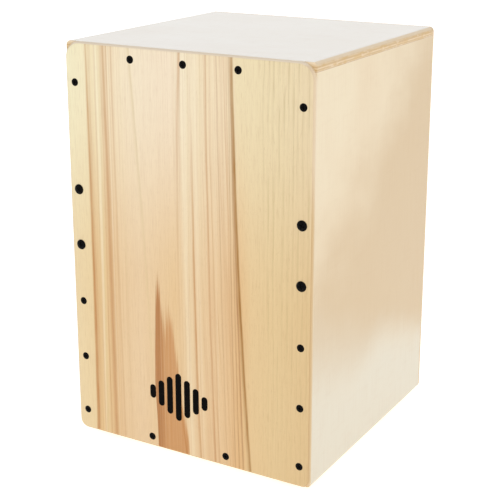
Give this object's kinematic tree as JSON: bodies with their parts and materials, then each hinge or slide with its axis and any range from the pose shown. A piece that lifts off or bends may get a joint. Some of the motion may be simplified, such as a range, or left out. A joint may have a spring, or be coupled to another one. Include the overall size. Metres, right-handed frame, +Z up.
{
  "type": "cajon",
  "caption": "Plywood box drum to sit on, with a screwed-on veneered playing plate, snare wires behind it, a round sound hole in the back and rubber feet.",
  "frame": {"origin": "on the floor, under the middle of the box", "axes": "+Z up, -Y out of the playing plate, +X to the right of someone who faces the playing plate"},
  "size_m": [0.3, 0.3032, 0.458],
  "materials": {
    "birch_ply": "satin lacquered birch plywood",
    "ash_veneer": "satin lacquered heartwood ash veneer",
    "batten_wood": "planed bare softwood",
    "snare_steel": "bright drawn steel",
    "black_screw": "black phosphate",
    "zinc_screw": "bright zinc",
    "foot_rubber": "matt moulded rubber",
    "badge_print": "matt black foil"
  },
  "bodies": {
    "root": {"top_panel": "birch_ply", "bottom_panel": "birch_ply", "left_side_panel": "birch_ply", "right_side_panel": "birch_ply", "back_panel": "birch_ply", "snare_bar": "birch_ply", "front_plate": "ash_veneer", "front_left_batten": "batten_wood", "front_right_batten": "batten_wood", "front_top_batten": "batten_wood", "front_bottom_batten": "batten_wood", "back_left_batten": "batten_wood", "back_right_batten": "batten_wood", "back_top_batten": "batten_wood", "back_bottom_batten": "batten_wood", "top_left_corner_strip": "batten_wood", "top_right_corner_strip": "batten_wood", "bottom_left_corner_strip": "batten_wood", "bottom_right_corner_strip": "batten_wood", "left_snare_block": "batten_wood", "right_snare_block": "batten_wood", "left_snare_plate": "snare_steel", "right_snare_plate": "snare_steel", "left_snare_wires": "snare_steel", "right_snare_wires": "snare_steel", "front_plate_screws": "black_screw", "front_plate_large_screws": "black_screw", "back_panel_screws": "black_screw", "snare_plate_screws": "zinc_screw", "snare_block_screws": "zinc_screw", "foot_screws": "zinc_screw", "foot_washers": "zinc_screw", "front_left_foot": "foot_rubber", "front_right_foot": "foot_rubber", "back_left_foot": "foot_rubber", "back_right_foot": "foot_rubber", "front_badge": "badge_print"}
  },
  "joints": []
}
